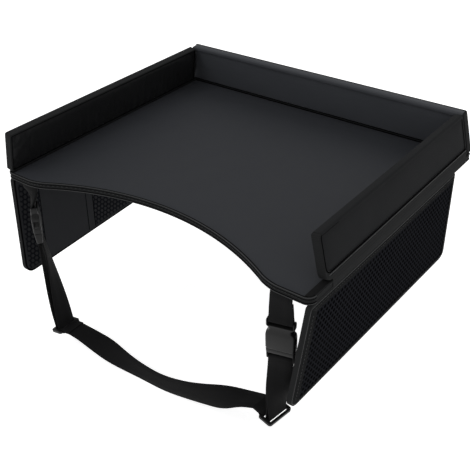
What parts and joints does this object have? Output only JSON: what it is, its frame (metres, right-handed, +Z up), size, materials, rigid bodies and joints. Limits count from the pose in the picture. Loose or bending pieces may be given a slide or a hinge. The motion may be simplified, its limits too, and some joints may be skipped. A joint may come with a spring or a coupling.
{
  "type": "car seat tray table",
  "caption": "Padded travel tray with a belly cut-out, fold-up walls, hanging side panels with mesh pockets and a buckled webbing strap.",
  "frame": {"origin": "centre of the tray's flat underside, midway between its sides and its front and back edges", "axes": "+X to the right along the tray's width as the child sees it from behind the cut-out, +Y away from the child towards the back wall, +Z up out of the tray top"},
  "size_m": [0.4, 0.3408, 0.2664],
  "materials": {
    "coated_top": "smooth matt coated fabric",
    "cover_fabric": "matt woven polyester",
    "lining_fabric": "matt woven lining",
    "binding_tape": "ribbed binding tape",
    "seam_tape": "matt woven tape",
    "stiffening_board": "light stiffening sheet inside the covers",
    "pocket_mesh": "knitted mesh",
    "hook_and_loop": "hook and loop tape",
    "webbing": "fine woven webbing",
    "buckle_plastic": "satin moulded plastic"
  },
  "bodies": {
    "tray": {"tray_top_cover": "coated_top", "tray_board": "stiffening_board", "tray_bottom_cover": "cover_fabric", "tray_edge_binding": "binding_tape", "left_wall_tape": "seam_tape", "right_wall_tape": "seam_tape", "back_wall_tape": "seam_tape", "left_panel_tape": "seam_tape", "right_panel_tape": "seam_tape", "left_anchor_tab": "webbing", "right_anchor_tab": "webbing"},
    "left_wall": {"left_wall_core": "stiffening_board", "left_wall_outer_cover": "cover_fabric", "left_wall_inner_cover": "lining_fabric", "left_wall_binding": "binding_tape", "left_wall_hook_patch": "hook_and_loop"},
    "right_wall": {"right_wall_core": "stiffening_board", "right_wall_outer_cover": "cover_fabric", "right_wall_inner_cover": "lining_fabric", "right_wall_binding": "binding_tape", "right_wall_hook_patch": "hook_and_loop"},
    "back_wall": {"back_wall_core": "stiffening_board", "back_wall_outer_cover": "cover_fabric", "back_wall_inner_cover": "lining_fabric", "back_wall_binding": "binding_tape", "left_loop_patch": "hook_and_loop", "right_loop_patch": "hook_and_loop"},
    "left_panel": {"left_panel_lining": "lining_fabric", "left_panel_board": "stiffening_board", "left_panel_cover": "cover_fabric", "left_panel_margin": "cover_fabric", "left_panel_mesh": "pocket_mesh", "left_panel_binding": "binding_tape"},
    "right_panel": {"right_panel_lining": "lining_fabric", "right_panel_board": "stiffening_board", "right_panel_cover": "cover_fabric", "right_panel_margin": "cover_fabric", "right_panel_mesh": "pocket_mesh", "right_panel_binding": "binding_tape"},
    "straps": {"left_anchor_webbing": "webbing", "left_buckle_socket": "buckle_plastic", "left_buckle_plug": "buckle_plastic", "left_loop_webbing": "webbing", "left_slider": "buckle_plastic", "right_anchor_webbing": "webbing", "right_buckle_socket": "buckle_plastic", "right_buckle_plug": "buckle_plastic", "right_loop_webbing": "webbing", "right_slider": "buckle_plastic", "waist_strap": "webbing"},
    "left_inner_arm": {"left_plug_arm_inner": "buckle_plastic"},
    "left_outer_arm": {"left_plug_arm_outer": "buckle_plastic"},
    "right_inner_arm": {"right_plug_arm_inner": "buckle_plastic"},
    "right_outer_arm": {"right_plug_arm_outer": "buckle_plastic"}
  },
  "joints": [
    {"name": "left_wall_fold", "type": "hinge", "parent": "tray", "child": "left_wall", "pos_m": [-0.191, 0, 0.0083], "axis": [0, 1, 0], "range_deg": [0, 75]},
    {"name": "right_wall_fold", "type": "hinge", "parent": "tray", "child": "right_wall", "pos_m": [0.191, 0, 0.0083], "axis": [0, -1, 0], "range_deg": [0, 75]},
    {"name": "back_wall_fold", "type": "hinge", "parent": "tray", "child": "back_wall", "pos_m": [0, 0.1627, 0.00905], "axis": [-1, 0, 0], "range_deg": [0, 90]},
    {"name": "left_panel_swing", "type": "hinge", "parent": "tray", "child": "left_panel", "pos_m": [-0.19605, 0, -0.00285], "axis": [0, 1, 0], "range_deg": [0, 90]},
    {"name": "right_panel_swing", "type": "hinge", "parent": "tray", "child": "right_panel", "pos_m": [0.19605, 0, -0.00285], "axis": [0, -1, 0], "range_deg": [0, 90]},
    {"name": "strap_swing", "type": "hinge", "parent": "tray", "child": "straps", "pos_m": [0, -0.1594, -0.0009], "axis": [1, 0, 0], "range_deg": [-70, 50]},
    {"name": "left_inner_arm_squeeze", "type": "hinge", "parent": "straps", "child": "left_inner_arm", "pos_m": [-0.15873, -0.16634, -0.0557], "axis": [-0.6428, -0.766, 0], "range_deg": [0, 8], "stiffness_Nm_per_rad": 0.05},
    {"name": "left_outer_arm_squeeze", "type": "hinge", "parent": "straps", "child": "left_outer_arm", "pos_m": [-0.17527, -0.15246, -0.0557], "axis": [0.6428, 0.766, 0], "range_deg": [0, 8], "stiffness_Nm_per_rad": 0.05},
    {"name": "right_inner_arm_squeeze", "type": "hinge", "parent": "straps", "child": "right_inner_arm", "pos_m": [0.15657, -0.1622, -0.0637], "axis": [-0.2588, 0.9659, 0], "range_deg": [0, 8], "stiffness_Nm_per_rad": 0.05},
    {"name": "right_outer_arm_squeeze", "type": "hinge", "parent": "straps", "child": "right_outer_arm", "pos_m": [0.17743, -0.1566, -0.0637], "axis": [0.2588, -0.9659, 0], "range_deg": [0, 8], "stiffness_Nm_per_rad": 0.05}
  ]
}
